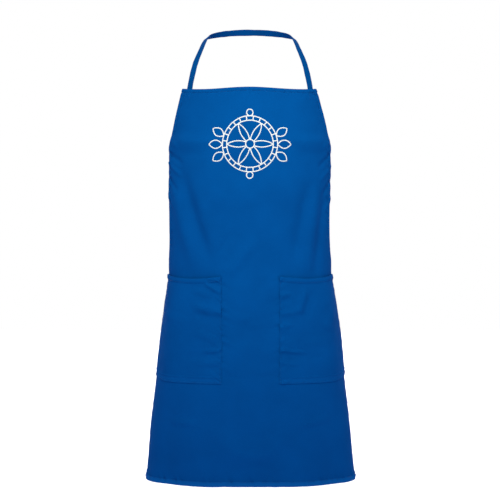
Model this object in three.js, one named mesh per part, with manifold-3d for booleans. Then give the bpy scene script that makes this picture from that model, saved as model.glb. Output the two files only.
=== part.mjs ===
// A full-length bib apron of cotton and polyester twill, in the shape that it takes when it is worn:
// a panel with turned hems, two patch pockets, a neck strap, two waist ties in a bow, and a printed rosette.
// Millimetres, +Z up, the front facing -Y. The origin is where the neck strap rests on the nape.

import * as THREE from "three";
import { mergeVertices } from "three/addons/utils/BufferGeometryUtils.js";
import Module from "manifold-3d";

// Cloth
const clothThickness = 1.2;
const hemFold = 1.2; // what a hem's turned edge adds to the cloth
const hemStep = 1.5; // the width over which a hem steps back to one layer
const clearance = 0.3; // between pieces that are sewn or laid together

// Panel, measured as it hangs
const bibTopDrop = 114; // from the nape down to the bib's top edge
const panelDrop = 745; // from the top edge down to the bottom edge
const topHem = 8;
const bottomHem = 10;
const sideHem = 8;
const hemFlare = 1.5; // how far the bottom hem stands out
const topWaveHeight = 2;
const topWaveLength = 180;

// The worn form, which the panel follows round the front of the body
const hipHalfWidth = 200;
const chestDepth = 118; // from the middle of the chest to its front
const middleForward = 62; // from the nape forward to the middle of the chest
const backDepth = 92; // from the middle of the waist to its back
const sectionPower = 2.3; // 2 is an ellipse, and more is squarer
const foldWidth = 15;
const foldHeight = 4;

// Pockets
const pocketInset = 54; // from the centre line to a pocket's inner seam
const pocketMouthDrop = 350.5; // from the panel's top edge
const pocketHeight = 201.5;
const pocketMouthHem = 9;
const pocketMouthSag = 5;
const pocketSideRise = 8; // how far the bottom seam rises towards the side
const pocketGape = 11; // how far the mouth stands open
const gapeSkew = 0.66; // below 1, the mouth stands open most near its inner seam

// Straps
const tapeWidth = 12;
const tapeThickness = 1.6;
const strapInset = 11; // from the bib's side edge to the middle of the neck strap
const strapSewnLength = 22;
const neckHalfWidth = 87; // from the centre line to the strap on the shoulder
const tieDrop = 345; // from the panel's top edge to the middle of the ties
const tieSewnLength = 24;

// Bow
const knotWidth = 15;
const knotDepth = 13;
const knotHeight = 19;
const bowLoopLength = 84;
const tieEndLength = 318;

// Printed rosette
const printDrop = 104.6; // from the panel's top edge to the rosette's centre
const printThickness = 0.5;
const printLine = 2.5;
const printSmoothing = 0.03; // how far a joined outline may be evened out
const ringRadius = 51;
const ringGap = 8; // between the two rings
const centreRadius = 8;
const tickCount = 24;
const leafLength = 25;
const leafBow = 0.3; // a leaf's bulge, as a share of its length
const finialRadius = 6;

// Sections of the worn form. down: share of panelDrop. halfWidth and aside: shares of hipHalfWidth.
// depth and forward: shares of chestDepth. turn: degrees round the section where the cloth ends.
const form = [
  { down: 0, halfWidth: 0.749, aside: -0.006, depth: 0.745, forward: 0, turn: 53.5 },
  { down: 0.02, halfWidth: 0.756, aside: -0.005, depth: 0.78, forward: 0, turn: 56.5 },
  { down: 0.1, halfWidth: 0.79, aside: 0, depth: 0.92, forward: 0, turn: 64.5 },
  { down: 0.2, halfWidth: 0.809, aside: -0.002, depth: 1, forward: 0, turn: 69.5 },
  { down: 0.32, halfWidth: 0.807, aside: -0.006, depth: 0.95, forward: 0, turn: 68.5 },
  { down: 0.39, halfWidth: 0.789, aside: -0.002, depth: 0.91, forward: 0, turn: 73.5 },
  { down: 0.44, halfWidth: 0.784, aside: 0.001, depth: 0.89, forward: 0, turn: 77.5 },
  { down: 0.48, halfWidth: 0.77, aside: 0.002, depth: 0.885, forward: 0, turn: 80 },
  { down: 0.55, halfWidth: 0.798, aside: 0.004, depth: 0.9, forward: 0, turn: 88 },
  { down: 0.65, halfWidth: 0.86, aside: 0.006, depth: 0.91, forward: 0, turn: 93 },
  { down: 0.76, halfWidth: 0.908, aside: 0.002, depth: 0.9, forward: 0.01, turn: 95 },
  { down: 0.88, halfWidth: 0.959, aside: 0.003, depth: 0.865, forward: 0.035, turn: 96 },
  { down: 1, halfWidth: 1, aside: 0.005, depth: 0.83, forward: 0.07, turn: 96 },
];

// Folds, as ridges (height above 0) and valleys along straight lines on the flat panel.
// across: shares of hipHalfWidth, left of the wearer's front view below 0. down: shares of panelDrop.
// width: share of foldWidth. height: share of foldHeight.
const folds = [
  { fromAcross: -0.84, fromDown: 0.2, toAcross: -0.5, toDown: 0.47, width: 0.95, height: 1 },
  { fromAcross: -0.7, fromDown: 0.19, toAcross: -0.36, toDown: 0.46, width: 0.9, height: -1.1 },
  { fromAcross: -0.56, fromDown: 0.22, toAcross: -0.28, toDown: 0.44, width: 0.9, height: 0.5 },
  { fromAcross: 0.1, fromDown: 0.365, toAcross: -0.3, toDown: 0.495, width: 0.8, height: 0.9 },
  { fromAcross: 0.62, fromDown: 0.2, toAcross: 0.38, toDown: 0.48, width: 0.95, height: -1.1 },
  { fromAcross: 0.7, fromDown: 0.21, toAcross: 0.5, toDown: 0.5, width: 0.9, height: 0.9 },
  { fromAcross: 0.8, fromDown: 0.24, toAcross: 0.62, toDown: 0.5, width: 0.7, height: -0.8 },
  { fromAcross: -1, fromDown: 0.152, toAcross: -0.36, toDown: 0.145, width: 1.1, height: 0.9 },
  { fromAcross: 1, fromDown: 0.152, toAcross: 0.36, toDown: 0.145, width: 1.1, height: 0.9 },
  { fromAcross: 0, fromDown: 0.55, toAcross: 0, toDown: 1, width: 2.6, height: -1 },
  { fromAcross: -0.42, fromDown: 0.7, toAcross: -0.5, toDown: 1.3, width: 2.6, height: 1.3 },
  { fromAcross: 0.45, fromDown: 0.7, toAcross: 0.48, toDown: 1.3, width: 2.4, height: 1.2 },
  { fromAcross: -0.8, fromDown: 0.74, toAcross: -0.86, toDown: 1.4, width: 1.5, height: -0.9 },
  { fromAcross: 0.82, fromDown: 0.74, toAcross: 0.84, toDown: 1.4, width: 1.5, height: -0.9 },
];
const foldFade = 0.32; // the share of a fold's length over which each end fades

// The neck strap from the bib up over the shoulder to the nape. out: share of neckHalfWidth.
// forward: share of the way from the nape forward to the bib's top edge. drop: share of bibTopDrop.
// The last three columns are the way that the strap's outer face looks.
const neckRoute = [
  { out: 1.24, forward: 0.955, drop: 0.76, faceX: 0.5, faceY: -0.82, faceZ: 0.25 },
  { out: 1.175, forward: 0.87, drop: 0.56, faceX: 0.48, faceY: -0.72, faceZ: 0.5 },
  { out: 1.07, forward: 0.73, drop: 0.345, faceX: 0.5, faceY: -0.45, faceZ: 0.74 },
  { out: 0.98, forward: 0.5, drop: 0.165, faceX: 0.5, faceY: 0, faceZ: 0.87 },
  { out: 0.92, forward: 0.29, drop: 0.1, faceX: 0.6, faceY: 0.35, faceZ: 0.72 },
  { out: 0.7, forward: 0.115, drop: 0.045, faceX: 0.55, faceY: 0.7, faceZ: 0.45 },
  { out: 0.36, forward: 0.025, drop: 0.01, faceX: 0.3, faceY: 0.92, faceZ: 0.24 },
];

// Half of a bow loop. out and drop: shares of bowLoopLength. back: share of knotDepth, from the knot's middle.
const bowRoute = [
  { out: 0.12, back: 0.05, drop: 0 },
  { out: 0.32, back: 0.05, drop: 0.03 },
  { out: 0.6, back: 0.0, drop: 0.14 },
  { out: 0.88, back: 0.15, drop: 0.34 },
  { out: 1, back: 0.75, drop: 0.47 },
  { out: 0.9, back: 1.35, drop: 0.45 },
  { out: 0.6, back: 1.25, drop: 0.3 },
  { out: 0.32, back: 0.6, drop: 0.08 },
  { out: 0.12, back: 0.3, drop: 0 },
];

// A hanging tie end. down: share of tieEndLength. out and back: shares of tapeWidth.
const endRoute = [
  { down: 0, out: 0, back: 0 },
  { down: 0.08, out: 0.15, back: 0.2 },
  { down: 0.25, out: 0.9, back: 0.5 },
  { down: 0.5, out: 1.5, back: -0.1 },
  { down: 0.75, out: 1.7, back: 0.3 },
  { down: 1, out: 2.2, back: 0.1 },
];

const royalBlue = new THREE.MeshStandardMaterial({ color: 0x00529b, roughness: 0.85, metalness: 0 });
const tapeBlue = new THREE.MeshStandardMaterial({ color: 0x004d95, roughness: 0.8, metalness: 0 });
const printWhite = new THREE.MeshStandardMaterial({ color: 0xf4f6f8, roughness: 0.55, metalness: 0 });

const wasm = await Module();
wasm.setup();

function clamp(value, low, high) {
  return Math.min(Math.max(value, low), high);
}

function smoothRise(from, to, value) {
  const share = clamp((value - from) / (to - from), 0, 1);
  return share * share * (3 - 2 * share);
}

function signedPower(value, power) {
  return Math.sign(value) * Math.abs(value) ** power;
}

// A table's column at some share of the way down, on a smooth curve through its rows.
function columnAt(rows, column, down) {
  const last = rows.length - 1;
  let i = 0;
  while (i < last - 1 && rows[i + 1].down < down) i += 1;
  const slope = (k) => {
    const before = rows[Math.max(k - 1, 0)];
    const after = rows[Math.min(k + 1, last)];
    return (after[column] - before[column]) / (after.down - before.down);
  };
  const gap = rows[i + 1].down - rows[i].down;
  const s = clamp((down - rows[i].down) / gap, 0, 1);
  const start = rows[i][column];
  const end = rows[i + 1][column];
  return (
    start * (1 + 2 * s) * (1 - s) ** 2 +
    end * s * s * (3 - 2 * s) +
    gap * s * (1 - s) * ((1 - s) * slope(i) - s * slope(i + 1))
  );
}

// The body's outline at one height, from the middle of the front round to the middle of the back,
// with the distance along it to each point.
const sectionSteps = 240;
const sections = new Map();

function sectionAt(drop) {
  if (sections.has(drop)) return sections.get(drop);
  const down = clamp(drop / panelDrop, 0, 1);
  const halfWidth = hipHalfWidth * columnAt(form, "halfWidth", down);
  const front = chestDepth * columnAt(form, "depth", down);
  const middle = -middleForward - chestDepth * columnAt(form, "forward", down);
  const points = [];
  let along = 0;
  for (let step = 0; step <= sectionSteps; step += 1) {
    const angle = (step / sectionSteps) * Math.PI;
    const reach = signedPower(Math.cos(angle), 2 / sectionPower);
    const x = halfWidth * Math.abs(Math.sin(angle)) ** (2 / sectionPower);
    const y = middle - reach * (reach > 0 ? front : backDepth);
    if (step > 0) along += Math.hypot(x - points[step - 1].x, y - points[step - 1].y);
    points.push({ x, y, along });
  }
  const turn = columnAt(form, "turn", down);
  const edge = (turn / 180) * sectionSteps;
  const before = points[Math.floor(edge)].along;
  const after = points[Math.ceil(edge)].along;
  const clothHalfWidth = before + (after - before) * (edge - Math.floor(edge));
  const aside = hipHalfWidth * columnAt(form, "aside", down);
  const section = { points, clothHalfWidth, aside };
  sections.set(drop, section);
  return section;
}

// The point that lies a distance along a section, to the right of the centre line or, below 0, to the left.
function pointOnSection(section, across) {
  const { points } = section;
  const distance = Math.abs(across);
  let low = 0;
  let high = points.length - 1;
  while (high - low > 1) {
    const half = (low + high) >> 1;
    if (points[half].along > distance) high = half;
    else low = half;
  }
  const share = (distance - points[low].along) / (points[high].along - points[low].along);
  const x = points[low].x + (points[high].x - points[low].x) * share;
  const y = points[low].y + (points[high].y - points[low].y) * share;
  return { x: Math.sign(across) * x, y };
}

// How far the folds lift the cloth at a point of the flat panel.
function foldLift(across, drop) {
  let lift = 0;
  for (const fold of folds) {
    const startX = fold.fromAcross * hipHalfWidth;
    const startY = fold.fromDown * panelDrop;
    const runX = fold.toAcross * hipHalfWidth - startX;
    const runY = fold.toDown * panelDrop - startY;
    const length = Math.hypot(runX, runY);
    const share = ((across - startX) * runX + (drop - startY) * runY) / length ** 2;
    const aside = ((across - startX) * runY - (drop - startY) * runX) / length;
    const fade = smoothRise(0, foldFade, share) * smoothRise(1, 1 - foldFade, share);
    lift += fold.height * foldHeight * fade * Math.exp(-((aside / (fold.width * foldWidth)) ** 2));
  }
  return lift;
}

// The panel's outer face, before the folds lift it.
function bareSurface(across, drop) {
  const section = sectionAt(drop);
  const { x, y } = pointOnSection(section, across);
  const wave = topWaveHeight * Math.cos((2 * Math.PI * across) / topWaveLength);
  const waveShare = 1 - smoothRise(0, topWaveLength, drop);
  return new THREE.Vector3(x + section.aside, y, -bibTopDrop - drop + wave * waveShare);
}

const probe = 0.5; // the distance between the points that a normal is worked out from

function normalOf(surface, across, drop) {
  const acrossWay = surface(across + probe, drop).sub(surface(across - probe, drop));
  const high = Math.max(drop - probe, 0);
  const low = Math.min(drop + probe, panelDrop);
  const downWay = surface(across, low).sub(surface(across, high));
  return downWay.cross(acrossWay).normalize();
}

function foldedSurface(across, drop) {
  const flare = hemFlare * smoothRise(panelDrop - 1.6 * bottomHem, panelDrop, drop);
  const lift = foldLift(across, drop) + flare;
  return bareSurface(across, drop).addScaledVector(normalOf(bareSurface, across, drop), lift);
}

// A closed solid between an outer and an inner grid of points, each grid[row][column].
function wallBetween(outer, inner) {
  const rows = outer.length;
  const columns = outer[0].length;
  const positions = [...outer.flat(), ...inner.flat()].flatMap((p) => [p.x, p.y, p.z]);
  const index = [];
  const quad = (a, b, c, d) => index.push(a, b, c, a, c, d);
  const out = (r, c) => r * columns + c;
  const back = (r, c) => rows * columns + out(r, c);
  for (let r = 0; r < rows - 1; r += 1) {
    for (let c = 0; c < columns - 1; c += 1) {
      quad(out(r, c), out(r + 1, c), out(r + 1, c + 1), out(r, c + 1));
      quad(back(r, c), back(r, c + 1), back(r + 1, c + 1), back(r + 1, c));
    }
    quad(out(r, 0), back(r, 0), back(r + 1, 0), out(r + 1, 0));
    const e = columns - 1;
    quad(out(r, e), out(r + 1, e), back(r + 1, e), back(r, e));
  }
  for (let c = 0; c < columns - 1; c += 1) {
    quad(out(0, c), out(0, c + 1), back(0, c + 1), back(0, c));
    const b = rows - 1;
    quad(out(b, c), back(b, c), back(b, c + 1), out(b, c + 1));
  }
  return indexedGeometry(positions, index);
}

function indexedGeometry(positions, index) {
  const geometry = new THREE.BufferGeometry();
  geometry.setAttribute("position", new THREE.Float32BufferAttribute(positions, 3));
  geometry.setIndex(index);
  return geometry;
}

function namedMesh(name, geometry, material) {
  geometry.computeVertexNormals();
  const mesh = new THREE.Mesh(geometry, material);
  mesh.name = name;
  return mesh;
}

// Evenly spread numbers from one to another, both included.
function spread(from, to, steps) {
  return Array.from({ length: steps + 1 }, (_, i) => from + ((to - from) * i) / steps);
}

// Distances from the centre line, on the right, of the panel's grid lines at one height.
const innerCells = 4;
const outerCells = 9;

function rightColumns(drop) {
  const edge = sectionAt(drop).clothHalfWidth;
  const inner = spread(0, pocketInset, innerCells);
  const outer = spread(pocketInset, edge - sideHem - hemStep, outerCells).slice(1);
  return [...inner, ...outer, edge - sideHem, edge];
}

function panelColumns(drop) {
  const right = rightColumns(drop);
  const left = right.slice(1).reverse().map((across) => -across);
  return [...left, ...right];
}

const pocketBottomDrop = pocketMouthDrop + pocketHeight;
const panelRows = [
  0,
  topHem,
  ...spread(topHem + hemStep, pocketMouthDrop, 16),
  ...spread(pocketMouthDrop, pocketBottomDrop, 10).slice(1),
  ...spread(pocketBottomDrop, panelDrop - bottomHem - hemStep, 8).slice(1),
  panelDrop - bottomHem,
  panelDrop,
];

// Where the panel's rows and columns meet: the outer face's point there, and the way it looks.
const panelGrid = panelRows.map((drop) =>
  panelColumns(drop).map((across) => ({
    across,
    point: foldedSurface(across, drop),
    normal: normalOf(foldedSurface, across, drop),
  })),
);

// A point off the panel's outer face: outwards, or inwards below 0.
function offPanel(across, drop, offset) {
  const r = clamp(panelRows.findIndex((row) => row > drop) - 1, 0, panelRows.length - 2);
  const upper = panelGrid[drop >= panelDrop ? panelRows.length - 2 : r];
  const lower = panelGrid[panelGrid.indexOf(upper) + 1];
  const rowDrop = panelRows[panelGrid.indexOf(upper)];
  const nextDrop = panelRows[panelGrid.indexOf(lower)];
  const downShare = clamp((drop - rowDrop) / (nextDrop - rowDrop), 0, 1);
  const columnAcross = (c) => upper[c].across + (lower[c].across - upper[c].across) * downShare;
  let c = 0;
  while (c < upper.length - 2 && columnAcross(c + 1) < across) c += 1;
  const width = columnAcross(c + 1) - columnAcross(c);
  const acrossShare = clamp((across - columnAcross(c)) / width, 0, 1);
  const blend = (key) => {
    const above = upper[c][key].clone().lerp(upper[c + 1][key], acrossShare);
    const below = lower[c][key].clone().lerp(lower[c + 1][key], acrossShare);
    return above.lerp(below, downShare);
  };
  return blend("point").addScaledVector(blend("normal").normalize(), offset);
}

function wayOut(across, drop) {
  return offPanel(across, drop, 1).sub(offPanel(across, drop, 0)).normalize();
}

function apronPanel() {
  const inHem = (across, drop) =>
    drop <= topHem ||
    drop >= panelDrop - bottomHem ||
    Math.abs(across) >= sectionAt(drop).clothHalfWidth - sideHem - 1e-6;
  const outer = panelGrid.map((row) => row.map(({ point }) => point));
  const inner = panelGrid.map((row, r) =>
    row.map(({ across, point, normal }) => {
      const thickness = clothThickness + (inHem(across, panelRows[r]) ? hemFold : 0);
      return point.clone().addScaledVector(normal, -thickness);
    }),
  );
  return namedMesh("apron_panel", wallBetween(outer, inner), royalBlue);
}

// A patch pocket, sewn at its inner, bottom and outer edges. side is 1 on the right and -1 on the left.
function pocket(name, side) {
  const rowShares = [0, pocketMouthHem / pocketHeight, (pocketMouthHem + hemStep) / pocketHeight];
  rowShares.push(...spread(rowShares[2], 1, 10).slice(1));
  const columnShares = spread(0, 1, outerCells + 2);
  const pointAt = (rowShare, columnIndex, offset) => {
    const columnShare = columnShares[columnIndex];
    const mouth = pocketMouthDrop + pocketMouthSag * Math.sin(Math.PI * columnShare);
    const bottom = pocketBottomDrop - pocketSideRise * smoothRise(0.5, 1, columnShare);
    const drop = mouth + (bottom - mouth) * rowShare;
    const across = rightColumns(drop)[innerCells + columnIndex];
    const open = Math.sin(Math.PI * columnShare ** gapeSkew) ** 0.8 * (1 - rowShare) ** 1.3;
    return offPanel(side * across, drop, clearance + pocketGape * open + offset);
  };
  const order = columnShares.map((_, i) => (side > 0 ? i : outerCells + 2 - i));
  const inner = rowShares.map((row) => order.map((i) => pointAt(row, i, 0)));
  const outer = rowShares.map((row, r) =>
    order.map((i) => pointAt(row, i, clothThickness + (r < 2 ? hemFold : 0))),
  );
  return namedMesh(name, wallBetween(outer, inner), royalBlue);
}

// A flat tape along stations of { centre, face }, where face is the way that its outer side looks.
function tape(name, stations, width = tapeWidth) {
  const last = stations.length - 1;
  const outer = [];
  const inner = [];
  stations.forEach(({ centre, face }, i) => {
    const before = stations[Math.max(i - 1, 0)].centre;
    const after = stations[Math.min(i + 1, last)].centre;
    const tangent = after.clone().sub(before).normalize();
    const aside = tangent.clone().cross(face).normalize();
    const normal = aside.clone().cross(tangent).normalize();
    const corner = (half, offset) =>
      centre.clone().addScaledVector(aside, half * width).addScaledVector(normal, offset);
    outer.push([corner(0.5, tapeThickness / 2), corner(-0.5, tapeThickness / 2)]);
    inner.push([corner(0.5, -tapeThickness / 2), corner(-0.5, -tapeThickness / 2)]);
  });
  return namedMesh(name, wallBetween(outer, inner), tapeBlue);
}

// Stations along a smooth curve through route points of { centre, face }.
function smoothStations(route, steps) {
  const centres = new THREE.CatmullRomCurve3(route.map((r) => r.centre));
  const faces = new THREE.CatmullRomCurve3(route.map((r) => r.face));
  return spread(0, 1, steps).map((share) => ({
    centre: centres.getPoint(share),
    face: faces.getPoint(share).normalize(),
  }));
}

const sewnOffset = -(clothThickness + hemFold + 1.5 * clearance + tapeThickness / 2);

// The neck strap, sewn to the inside of the bib at both ends.
function neckStrap() {
  const across = sectionAt(0).clothHalfWidth - strapInset;
  const sewn = [strapSewnLength, strapSewnLength / 2, 0].map((drop) => ({
    centre: offPanel(across, drop, sewnOffset),
    face: wayOut(across, drop),
  }));
  const bibForward = -sewn[2].centre.y;
  const free = neckRoute.map((row) => ({
    centre: new THREE.Vector3(
      row.out * neckHalfWidth,
      -row.forward * bibForward + tapeThickness / 2,
      -row.drop * bibTopDrop,
    ),
    face: new THREE.Vector3(row.faceX, row.faceY, row.faceZ).normalize(),
  }));
  const right = [...sewn, ...free];
  const nape = { centre: new THREE.Vector3(0, tapeThickness / 2, 0), face: new THREE.Vector3(0, 1, 0) };
  const mirrored = right.map(({ centre, face }) => ({
    centre: centre.clone().setX(-centre.x),
    face: face.clone().setX(-face.x),
  }));
  return tape("neck_strap", smoothStations([...right, nape, ...mirrored.reverse()], 56));
}

// A waist tie, sewn inside the panel's edge and led round the back of the waist to the knot.
function waistTie(name, side) {
  const section = sectionAt(tieDrop);
  const edge = section.clothHalfWidth;
  const backMiddle = section.points[sectionSteps].along;
  const sewn = spread(edge - tieSewnLength, edge - 1, 3).map((along) => ({
    centre: offPanel(side * along, tieDrop, sewnOffset),
    face: wayOut(side * along, tieDrop),
  }));
  const end = backMiddle - knotWidth / 2 - clearance;
  const free = spread(edge + tapeWidth, end, 12).map((along) => {
    const { x, y } = pointOnSection(section, along);
    const ahead = pointOnSection(section, Math.min(along + probe, backMiddle));
    const behind = pointOnSection(section, along - probe);
    const face = new THREE.Vector3(ahead.y - behind.y, behind.x - ahead.x, 0).normalize();
    const centre = new THREE.Vector3(x, y, -bibTopDrop - tieDrop).addScaledVector(face, sewnOffset);
    centre.x *= side;
    face.x *= side;
    return { centre, face };
  });
  return tape(name, smoothStations([...sewn, ...free], 30));
}

// The middle of the knot, with the ties' ends in the half of it that lies nearer the body.
function knotCentre() {
  const back = sectionAt(tieDrop).points[sectionSteps];
  return new THREE.Vector3(0, back.y + sewnOffset + knotDepth / 4, -bibTopDrop - tieDrop);
}

function bowKnot() {
  const round = knotHeight / 4;
  const shape = new THREE.Shape();
  const halfWidth = knotWidth / 2;
  const halfHeight = knotHeight / 2;
  shape.moveTo(-halfWidth, -halfHeight + round);
  shape.lineTo(-halfWidth, halfHeight - round);
  shape.quadraticCurveTo(-halfWidth, halfHeight, -halfWidth + round, halfHeight);
  shape.lineTo(halfWidth - round, halfHeight);
  shape.quadraticCurveTo(halfWidth, halfHeight, halfWidth, halfHeight - round);
  shape.lineTo(halfWidth, -halfHeight + round);
  shape.quadraticCurveTo(halfWidth, -halfHeight, halfWidth - round, -halfHeight);
  shape.lineTo(-halfWidth + round, -halfHeight);
  shape.quadraticCurveTo(-halfWidth, -halfHeight, -halfWidth, -halfHeight + round);
  const geometry = new THREE.ExtrudeGeometry(shape, {
    depth: knotDepth,
    bevelEnabled: false,
    curveSegments: 5,
  });
  geometry.translate(0, 0, -knotDepth / 2);
  geometry.rotateX(Math.PI / 2);
  const mesh = namedMesh("bow_knot", geometry, tapeBlue);
  mesh.position.copy(knotCentre());
  return mesh;
}

function bowLoop(name, side) {
  const knot = knotCentre();
  const strandGap = tapeThickness + 3 * clearance;
  const start = knotWidth / 2 + clearance;
  const at = (out, back, drop) =>
    new THREE.Vector3(side * (start + out), knot.y + back, knot.z - drop);
  const points = [
    at(0, 0, 0),
    ...bowRoute.map((row) =>
      at(row.out * bowLoopLength, row.back * knotDepth, row.drop * bowLoopLength),
    ),
    at(0, strandGap, 0),
  ];
  const curve = new THREE.CatmullRomCurve3(points);
  const stations = spread(0, 1, 28).map((share) => {
    const tangent = curve.getTangent(share);
    const upright = new THREE.Vector3(0, 0, 1);
    return { centre: curve.getPoint(share), face: tangent.clone().cross(upright).normalize() };
  });
  return tape(name, stations);
}

function tieEnd(name, side) {
  const knot = knotCentre();
  const layer = side * (tapeThickness / 2 + clearance);
  const route = endRoute.map((row) => ({
    centre: new THREE.Vector3(
      side * row.out * tapeWidth,
      knot.y + layer + row.back * tapeWidth,
      knot.z - knotHeight / 2 - clearance - row.down * tieEndLength,
    ),
    face: new THREE.Vector3(0, 1, 0),
  }));
  return tape(name, smoothStations(route, 24));
}

// A line of the print along part of a circle, as a flat solid. Angles are in turns of a half circle.
function printArc(centreX, centreY, radius, from, to, segments) {
  const half = printLine / 2;
  const shape = new THREE.Shape();
  shape.absarc(centreX, centreY, radius + half, from, to, false);
  shape.absarc(centreX, centreY, radius - half, to, from, true);
  shape.closePath();
  return flatSolid(shape, segments);
}

function printRing(radius, segments) {
  const half = printLine / 2;
  const shape = new THREE.Shape().absarc(0, 0, radius + half, 0, 2 * Math.PI, false);
  shape.holes.push(new THREE.Path().absarc(0, 0, radius - half, 0, 2 * Math.PI, true));
  return flatSolid(shape, segments);
}

function flatSolid(shape, segments) {
  const geometry = new THREE.ExtrudeGeometry(shape, {
    depth: printThickness,
    bevelEnabled: false,
    curveSegments: segments,
  });
  geometry.deleteAttribute("normal");
  geometry.deleteAttribute("uv");
  const merged = mergeVertices(geometry, 1e-4);
  return new wasm.Manifold(
    new wasm.Mesh({
      numProp: 3,
      vertProperties: new Float32Array(merged.attributes.position.array),
      triVerts: new Uint32Array(merged.index.array),
    }),
  );
}

// A leaf outlined by two arcs, from a point on the outer ring outwards.
function leafLines(fromX, fromY, direction) {
  const tipX = fromX + leafLength * Math.cos(direction);
  const tipY = fromY + leafLength * Math.sin(direction);
  const bow = leafBow * leafLength;
  const radius = (leafLength ** 2 / 4 + bow ** 2) / (2 * bow);
  const halfAngle = Math.asin(leafLength / 2 / radius);
  return [1, -1].map((side) => {
    const offset = side * (radius - bow);
    const centreX = (fromX + tipX) / 2 + offset * Math.sin(direction);
    const centreY = (fromY + tipY) / 2 - offset * Math.cos(direction);
    const towards = direction + (side * Math.PI) / 2;
    return printArc(centreX, centreY, radius, towards - halfAngle, towards + halfAngle, 3);
  });
}

// The rosette's lines on the flat: two rings with ticks between them, six petals, side leaves and finials.
function rosetteLines() {
  const innerRadius = ringRadius - ringGap;
  const lines = [printRing(ringRadius, 18), printRing(innerRadius, 18), printRing(centreRadius, 8)];
  for (let i = 0; i < 6; i += 1) {
    const angle = (i * Math.PI) / 3;
    const facing = angle + Math.PI;
    lines.push(
      printArc(
        innerRadius * Math.cos(angle),
        innerRadius * Math.sin(angle),
        innerRadius,
        facing - Math.PI / 3,
        facing + Math.PI / 3,
        6,
      ),
    );
  }
  for (let i = 0; i < tickCount; i += 1) {
    const angle = ((i + 0.5) * 2 * Math.PI) / tickCount;
    const tickHalf = printLine / 2 / (ringRadius - ringGap / 2);
    const middle = ringRadius - ringGap / 2;
    const shape = new THREE.Shape();
    shape.absarc(0, 0, middle + ringGap / 2, angle - tickHalf, angle + tickHalf, false);
    shape.absarc(0, 0, middle - ringGap / 2, angle + tickHalf, angle - tickHalf, true);
    shape.closePath();
    lines.push(flatSolid(shape, 1));
  }
  for (const side of [0, Math.PI]) {
    for (const tilt of [-0.62, 0, 0.62]) {
      const from = side + tilt * 0.5;
      lines.push(...leafLines(ringRadius * Math.cos(from), ringRadius * Math.sin(from), side + tilt));
    }
  }
  for (const up of [1, -1]) {
    const middle = up * (ringRadius + finialRadius);
    lines.push(printArc(0, middle, finialRadius, 0, Math.PI, 5));
    lines.push(printArc(0, middle, finialRadius, Math.PI, 2 * Math.PI, 5));
  }
  return lines;
}

// The rosette, laid onto the bib.
function chestPrint() {
  const joined = rosetteLines()
    .reduce((all, line) => all.add(line))
    .simplify(printSmoothing);
  const mesh = joined.getMesh();
  const positions = [];
  for (let i = 0; i < mesh.numVert; i += 1) {
    const [x, y, z] = mesh.vertProperties.subarray(i * mesh.numProp, i * mesh.numProp + 3);
    const point = offPanel(x, printDrop - y, clearance + z);
    positions.push(point.x, point.y, point.z);
  }
  return namedMesh("chest_print", indexedGeometry(positions, [...mesh.triVerts]), printWhite);
}

const apron = new THREE.Group();
apron.add(
  apronPanel(),
  pocket("pocket_left", -1),
  pocket("pocket_right", 1),
  neckStrap(),
  waistTie("waist_tie_left", -1),
  waistTie("waist_tie_right", 1),
  bowKnot(),
  bowLoop("bow_loop_left", -1),
  bowLoop("bow_loop_right", 1),
  tieEnd("tie_end_left", -1),
  tieEnd("tie_end_right", 1),
  chestPrint(),
);

export default apron;
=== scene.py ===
# A full-length bib apron of royal blue poly-cotton twill, in the form that it takes when it is worn.
# Lengths are millimetres until a mesh is made. "Drop" is measured down the cloth from the bib's top edge,
# and "across" along the cloth from its centre line, to the right as seen from the front.

import math

import bpy
import numpy as np
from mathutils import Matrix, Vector


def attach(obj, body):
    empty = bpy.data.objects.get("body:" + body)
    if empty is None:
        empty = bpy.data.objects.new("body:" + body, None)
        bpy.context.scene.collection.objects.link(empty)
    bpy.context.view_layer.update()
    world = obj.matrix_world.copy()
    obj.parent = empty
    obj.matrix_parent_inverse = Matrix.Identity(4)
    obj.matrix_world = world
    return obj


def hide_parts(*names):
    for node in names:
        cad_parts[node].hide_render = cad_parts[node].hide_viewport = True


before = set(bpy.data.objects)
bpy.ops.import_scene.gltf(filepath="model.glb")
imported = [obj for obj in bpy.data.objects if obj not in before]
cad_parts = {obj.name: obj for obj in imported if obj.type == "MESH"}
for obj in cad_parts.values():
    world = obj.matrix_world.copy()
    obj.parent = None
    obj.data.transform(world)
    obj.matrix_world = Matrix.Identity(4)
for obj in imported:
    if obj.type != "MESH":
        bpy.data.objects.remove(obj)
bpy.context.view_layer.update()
scene = bpy.context.scene
mm = 0.001


def smoothRise(start, end, value):
    share = np.clip((value - start) / (end - start), 0, 1)
    return share * share * (3 - 2 * share)


def bump(value, centre, width):
    return np.exp(-(((value - centre) / width) ** 2))


def ripple(along, seed, shortest, longest, waves=7):
    # uneven waves, as sewing thread gathers cloth
    rng = np.random.default_rng(seed)
    total = np.zeros_like(np.asarray(along, dtype=float))
    phases = rng.uniform(0, 6.28, waves)
    for length, phase in zip(np.geomspace(shortest, longest, waves), phases):
        total += np.sin(2 * math.pi * along / (length * rng.uniform(0.9, 1.1)) + phase)
    return total / math.sqrt(waves / 2)


def softNoise(u, v, seed, scale):
    # smooth values between about -1 and 1 on a grid of the given scale, in millimetres
    rng = np.random.default_rng(seed)
    table = rng.uniform(-1, 1, (64, 64))
    x = np.asarray(u) / scale
    y = np.asarray(v) / scale
    i = np.floor(x).astype(int)
    j = np.floor(y).astype(int)
    s = x - i
    t = y - j
    s = s * s * (3 - 2 * s)
    t = t * t * (3 - 2 * t)
    low = table[i % 64, j % 64] * (1 - s) + table[(i + 1) % 64, j % 64] * s
    high = table[i % 64, (j + 1) % 64] * (1 - s) + table[(i + 1) % 64, (j + 1) % 64] * s
    return low * (1 - t) + high * t


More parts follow.
